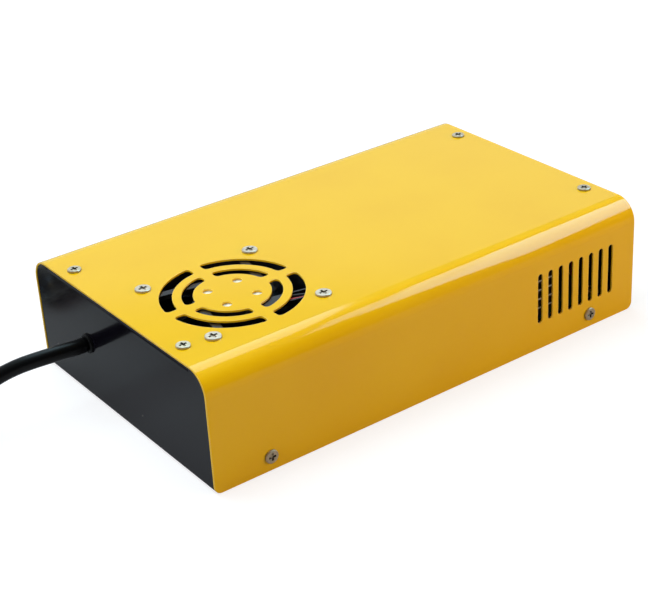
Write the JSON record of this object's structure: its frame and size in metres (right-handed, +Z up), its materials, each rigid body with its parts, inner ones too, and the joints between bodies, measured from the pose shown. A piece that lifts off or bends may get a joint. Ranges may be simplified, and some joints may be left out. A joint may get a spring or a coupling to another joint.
{
  "type": "lithium battery charger",
  "caption": "Flat bench battery charger in a folded yellow sheet case with a slotted fan grille, side vents, a mains inlet and an output lead.",
  "frame": {"origin": "middle of the case in plan, at the table it stands on", "axes": "+X along the case from the output lead's end to the mains inlet's end, +Y from the front vents to the back, +Z up"},
  "size_m": [0.3512, 0.187, 0.0509],
  "materials": {
    "yellow_sheet": "glossy yellow powder coat on folded sheet",
    "black_sheet": "glossy black powder coat on folded sheet",
    "zinc_steel": "dull zinc plate",
    "black_plastic": "moulded, slightly glossy",
    "white_label": "plain white paper, bare",
    "bronze": "sintered bronze",
    "lamination_steel": "stamped laminations",
    "copper_wire": "enamelled copper wire",
    "green_board": "green solder mask",
    "ferrite": "fired ferrite",
    "red_insulation": "PVC insulation",
    "black_insulation": "PVC insulation",
    "ivory_nylon": "moulded nylon",
    "amber_film": "insulating film",
    "bare_aluminium": "extruded, bare",
    "black_epoxy": "moulded epoxy",
    "yellow_tape": "polyester tape",
    "green_ferrite": "epoxy-coated ferrite",
    "yellow_powder_core": "epoxy-coated powder core",
    "dark_sleeve": "shrunk PVC sleeve",
    "blue_sleeve": "shrunk PVC sleeve",
    "yellow_case": "moulded case",
    "blue_case": "moulded case",
    "inlet_nylon": "moulded nylon, fine texture",
    "nickel_brass": "nickel plate",
    "brown_insulation": "PVC insulation",
    "blue_insulation": "PVC insulation",
    "green_insulation": "PVC insulation",
    "red_lens": "tinted clear lens",
    "black_rubber": "moulded rubber",
    "cable_jacket": "PVC jacket, soft sheen",
    "tie_strap": "hook-and-loop strap",
    "plug_metal": "nickel plate",
    "plug_insulator": "moulded insulator"
  },
  "bodies": {
    "case": {"lid": "yellow_sheet", "base_tray": "black_sheet", "clinch_nuts": "zinc_steel", "lid_screws": "zinc_steel", "side_screws": "zinc_steel", "hex_nuts": "zinc_steel", "fan_frame": "black_plastic", "fan_label": "white_label", "fan_bearing": "bronze", "fan_stator": "lamination_steel", "fan_windings": "copper_wire", "fan_drive_board": "green_board", "fan_screws": "zinc_steel", "fan_lead_red": "red_insulation", "fan_lead_black": "black_insulation", "fan_connector": "ivory_nylon", "insulating_sheet": "amber_film", "board_standoffs": "zinc_steel", "circuit_board": "green_board", "board_screws": "zinc_steel", "heatsink_front": "bare_aluminium", "heatsink_rear": "bare_aluminium", "power_transistors": "black_epoxy", "output_diodes": "black_epoxy", "bridge_rectifier": "black_epoxy", "device_screws": "zinc_steel", "transformer_core": "ferrite", "transformer_bobbin": "black_plastic", "transformer_winding": "yellow_tape", "choke_core": "green_ferrite", "choke_windings": "copper_wire", "inductor_core": "yellow_powder_core", "inductor_winding": "copper_wire", "bulk_capacitors": "dark_sleeve", "output_capacitors": "blue_sleeve", "film_capacitor": "yellow_case", "fuse": "black_epoxy", "controller_chip": "black_epoxy", "trimmers": "blue_case", "ac_inlet": "inlet_nylon", "inlet_pins": "nickel_brass", "inlet_screws": "zinc_steel", "live_wire": "brown_insulation", "neutral_wire": "blue_insulation", "earth_wire": "green_insulation", "status_lights": "red_lens", "cable_grommet": "black_rubber", "cable_tail": "cable_jacket", "output_wire_red": "red_insulation", "output_wire_black": "black_insulation", "output_cable": "cable_jacket", "output_cable_coil": "cable_jacket", "coil_tie": "tie_strap", "plug_shell": "plug_metal", "plug_coupling_ring": "plug_metal", "plug_insert": "plug_insulator"},
    "impeller": {"fan_impeller": "black_plastic", "fan_magnet": "ferrite", "fan_shaft": "zinc_steel"}
  },
  "joints": [
    {"name": "fan_spin", "type": "hinge", "parent": "case", "child": "impeller", "pos_m": [-0.0648, -0.01755, 0.0409], "axis": [0, 0, 1], "continuous": true}
  ]
}
